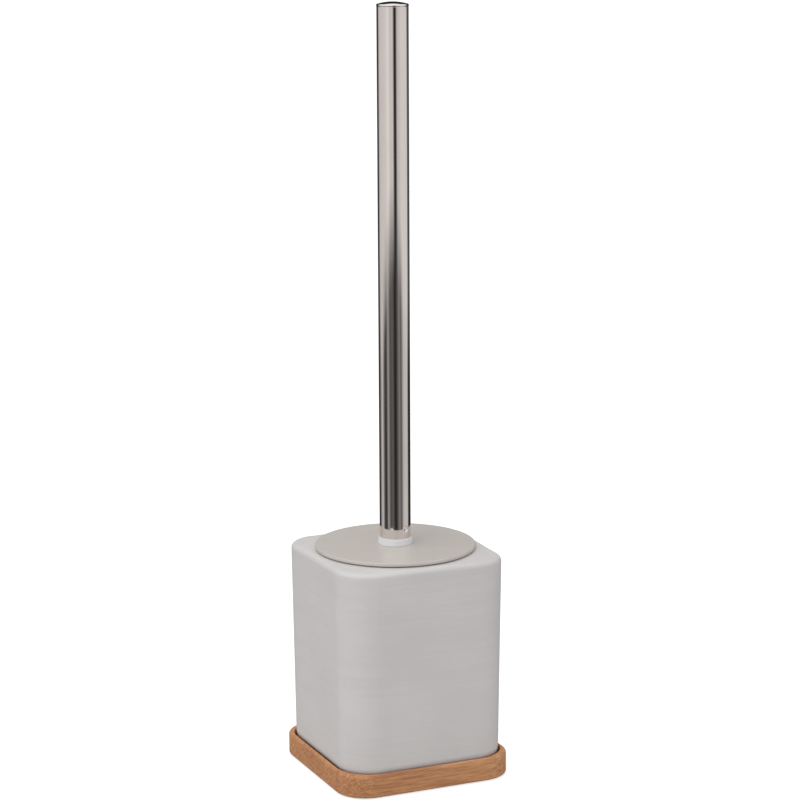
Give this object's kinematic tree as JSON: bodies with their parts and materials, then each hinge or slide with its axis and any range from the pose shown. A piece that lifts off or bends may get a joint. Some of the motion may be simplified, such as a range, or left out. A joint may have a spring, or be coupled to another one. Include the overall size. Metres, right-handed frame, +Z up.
{
  "type": "toilet brush holder",
  "caption": "Toilet brush with a slim round steel handle and disc lid, hanging in a square white ceramic pot that stands in a recessed bamboo tray.",
  "frame": {"origin": "on the floor, under the middle of the square tray", "axes": "+Z up along the handle, X and Y square to the tray's sides; the tray's wide front side faces -Y"},
  "size_m": [0.0936, 0.0936, 0.3938],
  "materials": {
    "bamboo": "satin oiled bamboo with fine straight grain",
    "foam": "matt foam rubber",
    "ceramic": "matt white glaze on earthenware",
    "lid_plastic": "satin warm grey plastic",
    "white_plastic": "glossy white moulded plastic",
    "polished_steel": "mirror polished stainless steel",
    "plug_plastic": "plain moulded plastic",
    "bristle": "bundles of white nylon filaments"
  },
  "bodies": {
    "tray": {"bamboo_tray": "bamboo", "tray_pads": "foam"},
    "pot": {"ceramic_pot": "ceramic"},
    "lid": {"lid_disc": "lid_plastic"},
    "collar": {"neck_collar": "white_plastic"},
    "head": {"brush_core": "white_plastic", "bristle_row_1": "bristle", "bristle_row_2": "bristle", "bristle_row_3": "bristle", "bristle_row_4": "bristle", "bristle_row_5": "bristle", "bristle_row_6": "bristle", "bristle_row_7": "bristle", "bristle_nose": "bristle"},
    "handle": {"handle_tube": "polished_steel", "thread_plug": "plug_plastic", "lock_pin": "polished_steel", "handle_cap": "polished_steel"}
  },
  "joints": [
    {"name": "pot_lift", "type": "slide", "parent": "tray", "child": "pot", "axis": [0, 0, 1], "range_m": [0, 0.03]},
    {"name": "brush_lift", "type": "slide", "parent": "pot", "child": "lid", "axis": [0, 0, 1], "range_m": [0, 0.12]},
    {"name": "brush_swivel", "type": "hinge", "parent": "lid", "child": "collar", "pos_m": [0, 0, 0.1187], "axis": [0, 0, 1], "continuous": true},
    {"name": "head_unscrew", "type": "hinge", "parent": "collar", "child": "head", "pos_m": [0, 0, 0.1224], "axis": [0, 0, -1], "range_deg": [0, 1620]},
    {"name": "handle_back_off", "type": "slide", "parent": "collar", "child": "handle", "axis": [0, 0, 1], "range_m": [0, 0.0135]}
  ],
  "couplings": [
    {"joint": "handle_back_off", "follows": "head_unscrew", "m_per_rad": 0.00047746}
  ]
}
